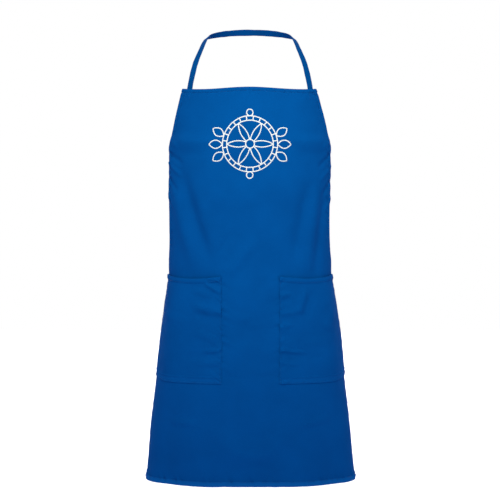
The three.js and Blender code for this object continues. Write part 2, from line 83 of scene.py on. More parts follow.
def linearColour(hexValue):
    channels = [int(hexValue[k : k + 2], 16) / 255 for k in (1, 3, 5)]
    return [c / 12.92 if c <= 0.04045 else ((c + 0.055) / 1.055) ** 2.4 for c in channels] + [1.0]


def addNode(tree, kind, inputs=None, **settings):
    node = tree.nodes.new(kind)
    for key, value in settings.items():
        setattr(node, key, value)
    for key, value in (inputs or {}).items():
        # a mix node has a socket of each name for every data type, and only one is in use
        inUse = [k for k in node.inputs if k.name == key and k.enabled]
        socket = inUse[0] if inUse else node.inputs[key]
        if isinstance(value, bpy.types.NodeSocket):
            tree.links.new(value, socket)
        else:
            socket.default_value = value
    return node


def newMaterial(name, roughness, specular):
    material = bpy.data.materials.new(name)
    material.use_nodes = True
    tree = material.node_tree
    tree.nodes.clear()
    shader = addNode(tree, "ShaderNodeBsdfPrincipled",
                     {"Roughness": roughness, "Specular IOR Level": specular, "IOR": 1.5, "Metallic": 0.0})
    addNode(tree, "ShaderNodeOutputMaterial", {"Surface": shader.outputs[0]})
    return material, tree, shader


def twoTone(tree, share, low, high, lowAt, highAt):
    # one colour that runs into another as the share grows
    ramp = addNode(tree, "ShaderNodeValToRGB", {"Fac": share})
    for element, place, hexValue in zip(ramp.color_ramp.elements, (lowAt, highAt), (low, high)):
        element.position = place
        element.color = linearColour(hexValue)
    return ramp.outputs["Color"]


def linkObject(name, data):
    made = bpy.data.objects.new(name, data)
    scene.collection.objects.link(made)
    return made


panel = {
    "bibTopDrop": 114.0,  # from the nape down to the top edge
    "panelDrop": 745.0,
    "topHem": 8.0,
    "bottomHem": 10.0,
    "sideHem": 8.0,
    "clothThickness": 1.2,
    "hemFold": 1.2,
    "hemFlare": 1.5,
    "hemRise": 0.6,  # how far the turned edge stands up
    "stitchPull": 0.75,  # how far a sewn line pulls in
    "gatherReach": 7.0,  # how far the puckers run in from a hem
    "hemHighlightShare": 0.8,  # how far the bottom hem's colour goes towards the painted highlight colour
    "topWaveHeight": 2.0,
    "topWaveLength": 180.0,
    "hipHalfWidth": 200.0,
    "chestDepth": 118.0,
    "middleForward": 62.0,
    "backDepth": 92.0,
    "sectionPower": 2.3,
    "foldWidth": 15.0,
    "foldHeight": 4.0,
    "gridStep": 3.2,
}

# down, half width, aside, depth, forward, and the turn in degrees at which the cloth ends
formRows = np.array([
    (0.00, 0.749, -0.006, 0.745, 0.000, 53.5),
    (0.02, 0.756, -0.005, 0.780, 0.000, 56.5),
    (0.10, 0.790, 0.000, 0.920, 0.000, 64.5),
    (0.20, 0.809, -0.002, 1.000, 0.000, 69.5),
    (0.32, 0.807, -0.006, 0.950, 0.000, 68.5),
    (0.39, 0.789, -0.002, 0.910, 0.000, 73.5),
    (0.44, 0.790, 0.001, 0.890, 0.000, 77.5),
    (0.48, 0.787, 0.002, 0.885, 0.000, 80.0),
    (0.55, 0.821, 0.004, 0.900, 0.000, 88.0),
    (0.65, 0.870, 0.006, 0.910, 0.000, 93.0),
    (0.76, 0.914, 0.002, 0.900, 0.010, 95.0),
    (0.88, 0.966, 0.003, 0.865, 0.035, 96.0),
    (1.00, 1.000, 0.005, 0.830, 0.070, 96.0),
])

# ridges and valleys: from across, from down, to across, to down, width, height
mainFolds = [
    (-0.84, 0.200, -0.50, 0.470, 0.95, 1.0),
    (-0.70, 0.190, -0.36, 0.460, 0.90, -1.1),
    (-0.56, 0.220, -0.28, 0.440, 0.90, 0.5),
    (0.10, 0.365, -0.30, 0.495, 0.80, 0.9),
    (0.62, 0.200, 0.38, 0.480, 0.95, -1.1),
    (0.70, 0.210, 0.50, 0.500, 0.90, 0.9),
    (0.80, 0.240, 0.62, 0.500, 0.70, -0.8),
    (-1.00, 0.152, -0.36, 0.145, 1.10, 0.9),
    (1.00, 0.152, 0.36, 0.145, 1.10, 0.9),
    (0.00, 0.55, 0.00, 1.00, 2.60, -1.0),
    (-0.42, 0.70, -0.50, 1.30, 2.60, 1.3),
    (0.45, 0.70, 0.48, 1.30, 2.40, 1.2),
    (-0.80, 0.74, -0.86, 1.40, 1.50, -0.9),
    (0.82, 0.74, 0.84, 1.40, 1.50, -0.9),
]

# the same for small creases, with width and height in shares of the main folds' sizes
smallCreases = [
    # armhole edges, where the hem gathers the cloth
    (-0.86, 0.125, -0.70, 0.150, 0.28, 0.40),
    (-0.90, 0.158, -0.64, 0.192, 0.30, -0.65),
    (-0.90, 0.183, -0.66, 0.222, 0.26, 0.60),
    (-0.92, 0.213, -0.70, 0.262, 0.28, -0.55),
    (-0.92, 0.253, -0.74, 0.305, 0.26, 0.40),
    (0.86, 0.125, 0.70, 0.155, 0.28, 0.40),
    (0.90, 0.160, 0.66, 0.202, 0.30, -0.70),
    (0.92, 0.188, 0.68, 0.235, 0.26, 0.62),
    (0.92, 0.223, 0.72, 0.275, 0.28, -0.60),
    (0.92, 0.263, 0.76, 0.315, 0.26, 0.42),
    # along the top edge, across the chest and under the print
    (-1.20, -0.020, 1.20, -0.020, 3.00, 0.90),
    (-1.00, 0.140, 0.00, 0.148, 2.20, 0.45),
    (0.00, 0.148, 1.00, 0.140, 2.20, 0.45),
    (-0.84, 0.129, -0.22, 0.131, 0.60, 0.85),
    (0.84, 0.129, 0.22, 0.131, 0.60, 0.80),
    (-0.88, 0.160, -0.34, 0.161, 0.80, -0.75),
    (0.88, 0.160, 0.38, 0.161, 0.80, -0.70),
    (-0.56, 0.270, 0.50, 0.264, 2.00, 0.80),
    (-0.34, 0.205, 0.32, 0.205, 0.90, -0.30),
    # between the pockets
    (-0.36, 0.512, 0.36, 0.512, 1.60, 0.50),
    (-0.32, 0.600, 0.32, 0.600, 1.80, -0.50),
    (-0.12, 0.345, -0.34, 0.430, 0.45, -0.35),
    (0.06, 0.470, 0.22, 0.560, 1.10, -0.40),
    (-0.32, 0.562, 0.06, 0.585, 0.55, 0.28),
    (-0.06, 0.600, 0.32, 0.572, 0.50, 0.26),
    (-0.24, 0.660, 0.10, 0.640, 0.90, 0.34),
    (0.00, 0.650, 0.26, 0.672, 0.80, 0.28),
    (-0.30, 0.716, -0.05, 0.728, 0.40, -0.30),
    (0.04, 0.728, 0.32, 0.712, 0.40, -0.26),
    # the hips, where the cloth turns to the side
    (-0.74, 0.430, -0.82, 0.830, 1.80, 1.40),
    (0.74, 0.430, 0.82, 0.830, 1.80, 1.30),
    # the skirt, and the hem's slight gathers
    (-0.44, 0.845, 0.06, 0.940, 1.10, 1.10),
    (-0.02, 0.945, 0.40, 0.855, 0.95, 0.95),
    (-0.36, 0.915, 0.36, 0.915, 1.60, 2.10),
    (-0.82, 0.838, -0.46, 0.842, 0.45, 0.90),
    (0.42, 0.846, 0.82, 0.832, 0.45, 0.90),
    (-0.46, 0.955, -0.30, 1.030, 0.50, 0.50),
    (-0.26, 0.960, -0.22, 1.030, 0.40, -0.45),
    (0.20, 0.965, 0.24, 1.030, 0.45, 0.45),
    (0.40, 0.950, 0.48, 1.030, 0.55, -0.45),
]
foldFade = 0.32

# seed, scale and height of the slight waves that any cloth has
clothUnevenness = [(3, 44, 0.55), (4, 17, 0.24), (5, 7, 0.07)]


def columnAt(column, down):
    # a smooth curve through a column of the form's table
    x = formRows[:, 0]
    y = formRows[:, column]
    before = np.maximum(np.arange(len(x)) - 1, 0)
    after = np.minimum(np.arange(len(x)) + 1, len(x) - 1)
    slope = (y[after] - y[before]) / (x[after] - x[before])
    i = min(max(int(np.searchsorted(x, down)) - 1, 0), len(x) - 2)
    gap = x[i + 1] - x[i]
    s = min(max((down - x[i]) / gap, 0), 1)
    ends = y[i] * (1 + 2 * s) * (1 - s) ** 2 + y[i + 1] * s * s * (3 - 2 * s)
    return ends + gap * s * (1 - s) * ((1 - s) * slope[i] - s * slope[i + 1])


def sectionAt(drop):
    # the form's outline at one height, and the distance along it from the middle of the front
    down = min(max(drop / panel["panelDrop"], 0), 1)
    angle = np.linspace(0, math.pi, 241)
    power = 2 / panel["sectionPower"]
    reach = np.sign(np.cos(angle)) * np.abs(np.cos(angle)) ** power
    depth = np.where(reach > 0, panel["chestDepth"] * columnAt(3, down), panel["backDepth"])
    middle = -panel["middleForward"] - panel["chestDepth"] * columnAt(4, down)
    x = panel["hipHalfWidth"] * columnAt(1, down) * np.abs(np.sin(angle)) ** power
    y = middle - reach * depth
    along = np.concatenate(([0], np.cumsum(np.hypot(np.diff(x), np.diff(y)))))
    edge = np.interp(columnAt(5, down), np.degrees(angle), along)
    return x, y, along, edge, panel["hipHalfWidth"] * columnAt(2, down)


def foldLift(rows, across, drop):
    lift = np.zeros_like(across)
    for fromAcross, fromDown, toAcross, toDown, width, height in rows:
        startX = fromAcross * panel["hipHalfWidth"]
        startY = fromDown * panel["panelDrop"]
        runX = toAcross * panel["hipHalfWidth"] - startX
        runY = toDown * panel["panelDrop"] - startY
        length = math.hypot(runX, runY)
        share = ((across - startX) * runX + (drop - startY) * runY) / length**2
        aside = ((across - startX) * runY - (drop - startY) * runX) / length
        fade = smoothRise(0, foldFade, share) * smoothRise(1, 1 - foldFade, share)
        lift += height * panel["foldHeight"] * fade * bump(aside, 0, width * panel["foldWidth"])
    return lift


# The cloth's outer face, worked out once on a fine grid that reaches a little past its edges.
masterStep = 2.0
acrossLine = np.arange(-300, 301, masterStep)
dropLine = np.arange(-12, 768, masterStep)
clothEdges = np.array([sectionAt(drop)[3] for drop in dropLine])


def edgeAt(drop):
    return np.interp(drop, dropLine, clothEdges)


def normalsOf(points):
    down = np.gradient(points, axis=0)
    right = np.gradient(points, axis=1)
    normals = np.cross(down, right)
    return normals / np.linalg.norm(normals, axis=2, keepdims=True)


def makeMasterCloth():
    points = np.zeros((len(dropLine), len(acrossLine), 3))
    for r, drop in enumerate(dropLine):
        x, y, along, _, aside = sectionAt(drop)
        points[r, :, 0] = np.sign(acrossLine) * np.interp(np.abs(acrossLine), along, x) + aside
        points[r, :, 1] = np.interp(np.abs(acrossLine), along, y)
        wave = panel["topWaveHeight"] * np.cos(2 * math.pi * acrossLine / panel["topWaveLength"])
        wave *= 1 - smoothRise(0, panel["topWaveLength"], drop)
        points[r, :, 2] = -panel["bibTopDrop"] - drop + wave
    across, drop = np.meshgrid(acrossLine, dropLine)
    lift = foldLift(mainFolds, across, drop) + foldLift(smallCreases, across, drop)
    hem = panel["bottomHem"]
    lift += panel["hemFlare"] * smoothRise(panel["panelDrop"] - 1.6 * hem, panel["panelDrop"], drop)
    for seed, scale, height in clothUnevenness:
        lift += height * softNoise(across + 900, drop + 900, seed, scale)
    points += normalsOf(points) * lift[..., None]
    return points, normalsOf(points)


masterPoints, masterNormals = makeMasterCloth()
print("cloth form ready", masterPoints.shape)


def onCloth(across, drop, offset=0.0):
    # points off the cloth's outer face: outwards, or inwards below 0
    across, drop, offset = np.broadcast_arrays(across, drop, offset)
    c = np.clip((across - acrossLine[0]) / masterStep, 0, len(acrossLine) - 1.001)
    r = np.clip((drop - dropLine[0]) / masterStep, 0, len(dropLine) - 1.001)
    i = r.astype(int)
    j = c.astype(int)
    s = (r - i)[..., None]
    t = (c - j)[..., None]

    def blend(grid):
        upper = grid[i, j] * (1 - t) + grid[i, j + 1] * t
        lower = grid[i + 1, j] * (1 - t) + grid[i + 1, j + 1] * t
        return upper * (1 - s) + lower * s

    normals = blend(masterNormals)
    normals = normals / np.linalg.norm(normals, axis=-1, keepdims=True)
    return blend(masterPoints) + normals * offset[..., None], normals


def meshPiece(name, vertices, faces, material, uv, paintedHemLight=None):
    # vertices in millimetres, uv in metres of cloth; uv and the painted hem light have one value for each
    # vertex
    mesh = bpy.data.meshes.new(name)
    mesh.from_pydata((np.asarray(vertices) * mm).tolist(), [], faces)
    corners = np.zeros(len(mesh.loops), dtype=np.int32)
    mesh.loops.foreach_get("vertex_index", corners)
    layer = mesh.uv_layers.new(name="cloth")
    layer.uv.foreach_set("vector", np.asarray(uv, dtype=np.float32)[corners].ravel())
    if paintedHemLight is not None:
        layer = mesh.attributes.new("paintedHemLight", "FLOAT", "POINT")
        layer.data.foreach_set("value", np.asarray(paintedHemLight, dtype=np.float32).ravel())
    mesh.materials.append(material)
    mesh.polygons.foreach_set("use_smooth", np.ones(len(mesh.polygons), dtype=bool))
    mesh.update()
    piece = linkObject(name, mesh)
    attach(piece, "root")
    return piece


def clothShell(name, layers, uv, paintedHemLight):
    # layers run from the outer face round the edge to the inner face; each is a grid of points
    rows, columns = layers[0].shape[:2]
    index = np.arange(rows * columns).reshape(rows, columns)

    quads = np.stack([index[:-1, :-1], index[1:, :-1], index[1:, 1:], index[:-1, 1:]], axis=-1)
    quads = quads.reshape(-1, 4)
    vertices = [layers[0].reshape(-1, 3), layers[-1].reshape(-1, 3)]
    uvs = [uv.reshape(-1, 2), uv.reshape(-1, 2)]
    light = paintedHemLight.reshape(-1)
    faces = [quads, quads[:, ::-1] + rows * columns]
    border = np.concatenate([index[0, :], index[1:, -1], index[-1, -2::-1], index[-2:0:-1, 0]])
    rims = [border]
    for layer in layers[1:-1]:
        count = sum(len(block) for block in vertices)
        rims.append(count + np.arange(len(border)))
        vertices.append(layer.reshape(-1, 3)[border])
        uvs.append(uv.reshape(-1, 2)[border])
    rims.append(border + rows * columns)
    for near, far in zip(rims[:-1], rims[1:]):
        faces.append(np.stack([near, np.roll(near, -1), np.roll(far, -1), far], axis=-1))
    lights = np.concatenate([light, light] + [light[border]] * (len(layers) - 2))
    return meshPiece(name, np.concatenate(vertices), np.concatenate(faces).tolist(), clothTwill,
                     np.concatenate(uvs), lights)


twill = {
    "colour": "#0055a4",
    "shade": "#004c96",
    # painted highlight colour: a lighter blue for the hem bands, in place of the light that their flared
    # edges catch
    "paintedHighlight": "#0a62b4",
    "ribPitch": 1.3,  # real twill ribs are 0.5 mm apart; drawn coarser so that they show
    "ribHeight": 0.2,
    "ribTurn": 58.0,  # degrees
    "yarnGrain": 2.2,
    "cloudSize": 60.0,
    "roughness": 0.92,
    "specular": 0.03,
    "tapeColour": "#00509a",
    "tapeShade": "#004488",
    "tapeRibPitch": 1.0,
}


def twillMaterial(name, colour, shade, pitch):
    # poly-cotton twill: piece-dyed, matt, with fine diagonal ribs and a slight mottle from the yarn
    material, tree, shader = newMaterial(name, twill["roughness"], twill["specular"])
    cloth = addNode(tree, "ShaderNodeUVMap", uv_map="cloth")
    turned = addNode(tree, "ShaderNodeMapping",
                     {"Vector": cloth.outputs["UV"], "Rotation": (0, 0, math.radians(twill["ribTurn"]))})
    # a wave texture's bands repeat every 0.31416 units at scale 1
    ribs = addNode(tree, "ShaderNodeTexWave",
                   {"Vector": turned.outputs["Vector"], "Scale": 0.31416 / (pitch * mm), "Distortion": 0.6,
                    "Detail": 1.0, "Detail Scale": 1.5}, bands_direction="X")
    yarn = addNode(tree, "ShaderNodeTexNoise",
                   {"Vector": cloth.outputs["UV"], "Scale": 1 / (twill["yarnGrain"] * mm), "Detail": 3.0,
                    "Roughness": 0.6})
    cloud = addNode(tree, "ShaderNodeTexNoise",
                    {"Vector": cloth.outputs["UV"], "Scale": 1 / (twill["cloudSize"] * mm), "Detail": 2.0})
    half = addNode(tree, "ShaderNodeMath", {0: yarn.outputs["Fac"], 1: 0.5}, operation="MULTIPLY")
    mottle = addNode(tree, "ShaderNodeMath", {0: cloud.outputs["Fac"], 1: 0.5, 2: half.outputs[0]},
                     operation="MULTIPLY_ADD")
    dyed = twoTone(tree, mottle.outputs[0], shade, colour, 0.3, 0.7)
    # where a piece marks its hem bands, the dyed colour is mixed towards a lighter blue: a painted highlight
    # for the light that the flared hems catch
    seam = addNode(tree, "ShaderNodeAttribute", attribute_name="paintedHemLight", attribute_type="GEOMETRY")
    paintedHighlight = linearColour(twill["paintedHighlight"])
    highlighted = addNode(tree, "ShaderNodeMix", {"Factor": seam.outputs["Fac"], "A": dyed, "B": paintedHighlight},
                   data_type="RGBA")
    height = addNode(tree, "ShaderNodeMath", {0: yarn.outputs["Fac"], 1: 0.6, 2: ribs.outputs["Fac"]},
                     operation="MULTIPLY_ADD")
    relief = addNode(tree, "ShaderNodeBump", {"Height": height.outputs[0], "Strength": 0.35,
                                              "Distance": twill["ribHeight"] * mm})
    tree.links.new(highlighted.outputs[2], shader.inputs["Base Color"])
    tree.links.new(relief.outputs["Normal"], shader.inputs["Normal"])
    return material


clothTwill = twillMaterial("poly-cotton twill, piece-dyed royal blue", twill["colour"], twill["shade"],
                           twill["ribPitch"])
tapeTwill = twillMaterial("woven cotton tape, royal blue", twill["tapeColour"], twill["tapeShade"],
                          twill["tapeRibPitch"])


pocketSizes = {
    "inset": 54.0,  # from the centre line to the inner seam
    "mouthDrop": 350.5,
    "height": 201.5,
    "mouthHem": 9.0,
    "mouthSag": 5.0,
    "sideRise": 8.0,
    "gape": 3.0,
    "gapeSkew": 0.66,
    "clearance": 0.3,
    "seamInset": 2.5,  # from the edge to the stitching
    "sideSeamInset": 6.5,
    "bottomTurn": 12.0,
    "flatWidth": 165.0,
    "step": 2.6,
    "gatherReach": 9.0,
    "creaseGain": 2.4,
    # share of the painted highlight on the pocket's raised bottom turn, for the light that the turn catches
    "bottomTurnHighlight": 0.15,
}


def makePanel():
    top, bottom, side = panel["topHem"], panel["bottomHem"], panel["sideHem"]
    total = panel["panelDrop"]
    rowDrops = np.concatenate([
        np.arange(0, 14, 1.0),
        np.linspace(14, total - 16, int((total - 30) / panel["gridStep"]) + 1),
        np.arange(total - 15, total + 0.1, 1.0),
    ])
    edgeSteps = np.arange(0, 13, 1.0)
    inner = np.linspace(-1, 1, 141)
    columns = []
    for drop in rowDrops:
        edge = edgeAt(drop)
        middle = inner * (edge - 13)
        columns.append(np.concatenate([-(edge - edgeSteps), middle, (edge - edgeSteps)[::-1]]))
    across = np.array(columns)
    drop = np.repeat(rowDrops[:, None], across.shape[1], axis=1)
    fromSide = edgeAt(drop) - np.abs(across)
    fromTop = drop
    fromBottom = total - drop
    sideSeed = np.where(across > 0, 1, 0)
    relief = np.zeros_like(across)
    for distance, hem, run, seed, strength in (
        (fromTop, top, across, 11, 0.3),
        (fromBottom, bottom, across, 12, 1.1),
        (fromSide, side, drop + 400 * sideSeed, 13, 0.45 + 0.5 * bump(drop, 150, 90)),
    ):
        gather = strength * ripple(run + 0.6 * distance, seed, 7, 31) * smoothRise(0, hem, distance + 1)
        relief += gather * np.exp(-np.maximum(distance - hem, 0) / panel["gatherReach"])
        relief -= panel["stitchPull"] * bump(distance, hem - 1, 1.1)
        relief += panel["hemRise"] * bump(distance, hem * 0.45, hem * 0.4)
    # painted highlight: the bottom hem band is made lighter, for the light that its flared edge catches from
    # above
    paintedHemLight = panel["hemHighlightShare"] * smoothRise(bottom + 0.5, bottom - 2, fromBottom)
    # puckers beside the pockets' inner seams
    p = pocketSizes
    beside = np.abs(across) - p["inset"]
    within = bump(drop, p["mouthDrop"] + p["height"] / 2, p["height"] * 0.52)
    pull = ripple(drop + 0.5 * beside + 400 * sideSeed, 14, 8, 27) * within
    relief += pull * np.exp(-np.abs(beside) / p["gatherReach"]) * smoothRise(2, -3, beside)
    inHem = np.maximum.reduce([
        1 - smoothRise(top, top + 1.5, fromTop),
        1 - smoothRise(bottom, bottom + 1.5, fromBottom),
        1 - smoothRise(side, side + 1.5, fromSide),
    ])
    thickness = panel["clothThickness"] + panel["hemFold"] * inHem
    outer, normals = onCloth(across, drop, relief)
    layers = [outer]
    outwards = np.zeros_like(outer)  # the fold of the hem rounds the edge
    outwards[0] = outer[0] - outer[1]
    outwards[-1] = outer[-1] - outer[-2]
    outwards[:, 0] += outer[:, 0] - outer[:, 1]
    outwards[:, -1] += outer[:, -1] - outer[:, -2]
    lengths = np.linalg.norm(outwards, axis=2, keepdims=True)
    outwards = outwards / np.maximum(lengths, 1e-9)
    for share in (0.2, 0.5, 0.8):
        swell = 0.45 * math.sin(math.pi * share)
        layers.append(outer - normals * (thickness * share)[..., None] + outwards * swell)
    layers.append(outer - normals * thickness[..., None])
    uv = np.stack([across, -drop], axis=-1) * mm
    piece = clothShell("bibApronCloth", layers, uv, paintedHemLight)
    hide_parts("apron_panel")


def pocketPoint(side, c, r, offset):
    # c runs from the inner seam to the side, r from the mouth to the bottom seam
    p = pocketSizes
    mouth = p["mouthDrop"] + p["mouthSag"] * np.sin(math.pi * c)
    bottom = p["mouthDrop"] + p["height"] - p["sideRise"] * smoothRise(0.5, 1, c)
    drop = mouth + (bottom - mouth) * r
    across = p["inset"] + (edgeAt(drop) - p["inset"]) * c
    opened = np.sin(math.pi * c ** p["gapeSkew"]) ** 0.8 * (1 - r) ** 1.3
    points, normals = onCloth(side * across, drop, p["clearance"] + p["gape"] * opened + offset)
    return points, normals, side * across, drop


# creases of each pocket, in millimetres from the inner seam and from the mouth
pocketCreases = {
    -1: [
        (66, 50, -6, 68, 8.0, 1.5),
        (60, 66, -4, 84, 6.0, -0.8),
        (36, 142, -4, 136, 3.5, 1.3),
        (80, 150, -2, 147, 5.0, -0.7),
        (44, 6, -3, 32, 4.0, 1.5),
        (36, 3, -3, 20, 3.5, -1.4),
        (70, 20, 20, 34, 7.0, 0.8),
        (58, 100, 4, 120, 8.0, 0.7),
        (50, 165, -3, 158, 5.0, 0.8),
        (30, 176, -3, 170, 3.5, -0.8),
        (140, 70, 60, 84, 10.0, 0.7),
    ],
    1: [
        (62, 14, 34, 66, 7.0, 1.5),
        (78, 20, 48, 74, 7.0, -1.2),
        (60, 60, -4, 70, 6.0, 1.1),
        (30, 30, -4, 36, 4.0, 1.2),
        (26, 42, -4, 50, 3.5, -1.2),
        (30, 84, -4, 98, 5.0, 1.1),
        (26, 112, -4, 110, 4.0, -0.9),
        (52, 144, -4, 136, 3.5, 1.3),
        (90, 152, 6, 148, 5.0, -0.7),
        (40, 166, -3, 160, 4.0, 0.8),
        (120, 60, 84, 100, 11.0, 0.8),
        (110, 120, 40, 124, 9.0, 0.6),
    ],
}


def creaseLift(rows, x, y):
    lift = np.zeros_like(x)
    for x0, y0, x1, y1, width, height in rows:
        runX, runY = x1 - x0, y1 - y0
        length = math.hypot(runX, runY)
        share = ((x - x0) * runX + (y - y0) * runY) / length**2
        aside = ((x - x0) * runY - (y - y0) * runX) / length
        fade = smoothRise(0, 0.45, share) * smoothRise(1.05, 0.85, share)
        lift += height * fade * bump(aside, 0, width)
    return lift


def makePocket(name, node, side):
    p = pocketSizes
    height, width = p["height"], p["flatWidth"]
    rowLine = np.concatenate([np.arange(0, 14, 1.0), np.arange(14, height - 16, p["step"]),
                              np.linspace(height - 16, height, 17)]) / height
    columnLine = np.concatenate([np.arange(0, 9, 1.0), np.arange(9, width - 9, p["step"]),
                                 np.linspace(width - 9, width, 10)]) / width
    if side < 0:
        columnLine = columnLine[::-1]
    c, r = np.meshgrid(columnLine, rowLine)
    fromMouth = r * height
    fromBottom = (1 - r) * height
    fromInner = c * width
    fromSide = (1 - c) * width
    seed = 20 if side < 0 else 30
    relief = np.zeros_like(c)
    for distance, run, k, strength in (
        (fromInner, fromMouth, 1, 0.825),
        (fromBottom, fromInner, 2, 0.33),
        (fromSide, fromMouth, 3, 0.495),
    ):
        gather = ripple(run + 0.8 * distance, seed + k, 6, 24) * np.exp(-distance / p["gatherReach"])
        relief += strength * gather * smoothRise(-2, 3, distance)
        relief -= 0.5 * bump(distance, p["seamInset"], 1.1)
        relief -= 0.7 * np.exp(-distance / 0.8)  # the turned edge rolls under
    relief += 0.5 * bump(fromMouth, 4.5, 3.2) - 0.5 * bump(fromMouth, p["mouthHem"], 1.1)
    relief += 0.8 * bump(fromBottom, p["bottomTurn"], 1.3) - 0.3 * bump(fromBottom, 8, 3)
    relief += 0.6 * bump(fromBottom, 1.3, 1.2)
    relief += p["creaseGain"] * creaseLift(pocketCreases[side], fromInner, fromMouth)
    for k, (scale, lift) in enumerate(((30, 0.45), (12, 0.2), (6, 0.08))):
        relief += lift * softNoise(fromInner + 300, fromMouth + 300, seed + 5 + k, scale)
    # nothing sinks into the cloth behind
    depth = -0.8 * panel["clothThickness"]
    relief = np.where(relief < 0, depth * np.tanh(relief / depth), relief)
    thickness = panel["clothThickness"] + panel["hemFold"] * (1 - smoothRise(9, 10.5, fromMouth))
    outer, normals, across, drop = pocketPoint(side, c, r, thickness + relief)
    inner = pocketPoint(side, c, r, 0.0)[0]
    layers = [outer]
    for share in (0.25, 0.5, 0.75):
        layers.append(outer * (1 - share) + inner * share)
    layers.append(inner)
    uv = np.stack([across, -drop], axis=-1) * mm
    # painted highlight: the raised bottom turn is made lighter, as where it catches the light from above
    light = p["bottomTurnHighlight"] * smoothRise(p["bottomTurn"], p["bottomTurn"] - 2, fromBottom)
    piece = clothShell(name, layers, uv, light)
    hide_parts(node)
    print("pocket", name, len(piece.data.polygons))


tape = {
    "width": 12.0,
    "thickness": 1.6,
    "sewnLength": 22.0,
    "strapInset": 11.0,
    "neckHalfWidth": 87.0,
    "tieDrop": 345.0,
    "tieSewnLength": 24.0,
    "seamGap": 0.45,  # between the hem and the tape behind it
    "unevenness": 0.02,
    "step": 3.0,
}

# the tape's section: shares of its half width and half thickness, with a slight ridge along each edge
tapeProfile = [
    (-1.0, 0.0), (-0.97, 0.62), (-0.86, 0.98), (-0.66, 0.9), (-0.3, 0.92), (0, 0.95), (0.3, 0.92),
    (0.66, 0.9), (0.86, 0.98), (0.97, 0.62), (1.0, 0.0), (0.97, -0.62), (0.86, -0.98), (0.4, -0.94),
    (0, -0.96), (-0.4, -0.94), (-0.86, -0.98), (-0.97, -0.62),
]

# out, forward, drop, and the way that the outer face looks
neckRoute = [
    (1.240, 0.955, 0.760, 0.50, -0.82, 0.25),
    (1.175, 0.870, 0.560, 0.48, -0.72, 0.50),
    (1.070, 0.730, 0.345, 0.50, -0.45, 0.74),
    (0.980, 0.500, 0.165, 0.50, 0.00, 0.87),
    (0.920, 0.290, 0.100, 0.60, 0.35, 0.72),
    (0.700, 0.115, 0.045, 0.55, 0.70, 0.45),
    (0.360, 0.025, 0.010, 0.30, 0.92, 0.24),
]


def smoothRoute(points, step):
    # an even Catmull-Rom curve through rows of numbers, whose first three columns are a place
    points = np.asarray(points, dtype=float)
    padded = np.vstack([2 * points[0] - points[1], points, 2 * points[-1] - points[-2]])
    knots = np.concatenate(([0], np.cumsum(np.linalg.norm(np.diff(padded[:, :3], axis=0), axis=1) ** 0.5)))
    fine = []
    for k in range(1, len(padded) - 2):
        p0, p1, p2, p3 = padded[k - 1 : k + 3]
        t0, t1, t2, t3 = knots[k - 1 : k + 3]
        t = np.linspace(t1, t2, 24, endpoint=False)[:, None]
        a1 = (t1 - t) / (t1 - t0) * p0 + (t - t0) / (t1 - t0) * p1
        a2 = (t2 - t) / (t2 - t1) * p1 + (t - t1) / (t2 - t1) * p2
        a3 = (t3 - t) / (t3 - t2) * p2 + (t - t2) / (t3 - t2) * p3
        b1 = (t2 - t) / (t2 - t0) * a1 + (t - t0) / (t2 - t0) * a2
        b2 = (t3 - t) / (t3 - t1) * a2 + (t - t1) / (t3 - t1) * a3
        fine.append((t2 - t) / (t2 - t1) * b1 + (t - t1) / (t2 - t1) * b2)
    fine = np.vstack(fine + [points[-1:]])
    length = np.concatenate(([0], np.cumsum(np.linalg.norm(np.diff(fine[:, :3], axis=0), axis=1))))
    count = max(int(round(length[-1] / step)), 4)
    even = np.linspace(0, length[-1], count + 1)
    return np.stack([np.interp(even, length, fine[:, k]) for k in range(fine.shape[1])], axis=1), even


def makeTape(name, node, route, seed, widths=((0, 1), (1, 1))):
    # route rows: place x, y, z and the way that the outer face looks
    stations, length = smoothRoute(route, tape["step"])
    centre = stations[:, :3]
    tangent = np.gradient(centre, axis=0)
    tangent /= np.linalg.norm(tangent, axis=1, keepdims=True)
    aside = np.cross(tangent, stations[:, 3:6])
    aside /= np.linalg.norm(aside, axis=1, keepdims=True)
    normal = np.cross(aside, tangent)
    half = tape["width"] / 2 * np.interp(length / length[-1], *widths)
    half = half * (1 + tape["unevenness"] * ripple(length, seed, 17, 60))
    rings = []
    for w, h in tapeProfile:
        rings.append(centre + aside * (half * w)[:, None] + normal * (tape["thickness"] / 2 * h))
    grid = np.stack(rings, axis=1)  # stations by profile
    count, around = grid.shape[:2]
    index = np.arange(count * around).reshape(count, around)
    nextIndex = np.roll(index, -1, axis=1)
    faces = np.stack([index[:-1], nextIndex[:-1], nextIndex[1:], index[1:]], axis=-1).reshape(-1, 4)
    vertices = grid.reshape(-1, 3)
    extra = [grid[0].mean(axis=0), grid[-1].mean(axis=0)]
    firstMiddle, lastMiddle = len(vertices), len(vertices) + 1
    caps = [(index[0, k], firstMiddle, index[0, (k + 1) % around]) for k in range(around)]
    caps += [(index[-1, k], index[-1, (k + 1) % around], lastMiddle) for k in range(around)]
    uvAround = np.array([w * tape["width"] / 2 for w, _ in tapeProfile])
    uv = np.stack(np.broadcast_arrays(uvAround[None, :], length[:, None]), axis=-1)
    uv = np.vstack([uv.reshape(-1, 2), [[0, 0], [0, length[-1]]]]) * mm
    faces = faces.tolist() + np.array(caps).tolist()
    piece = meshPiece(name, np.vstack([vertices, extra]), faces, tapeTwill, uv)
    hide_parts(node)
    print("tape", name, "length", round(float(length[-1]), 1))


sewnOffset = -(panel["clothThickness"] + panel["hemFold"] + tape["seamGap"] + tape["thickness"] / 2)


def sewnStation(across, drop):
    point, normal = onCloth(np.array([across]), np.array([drop]), sewnOffset)
    return (*point[0], *normal[0])


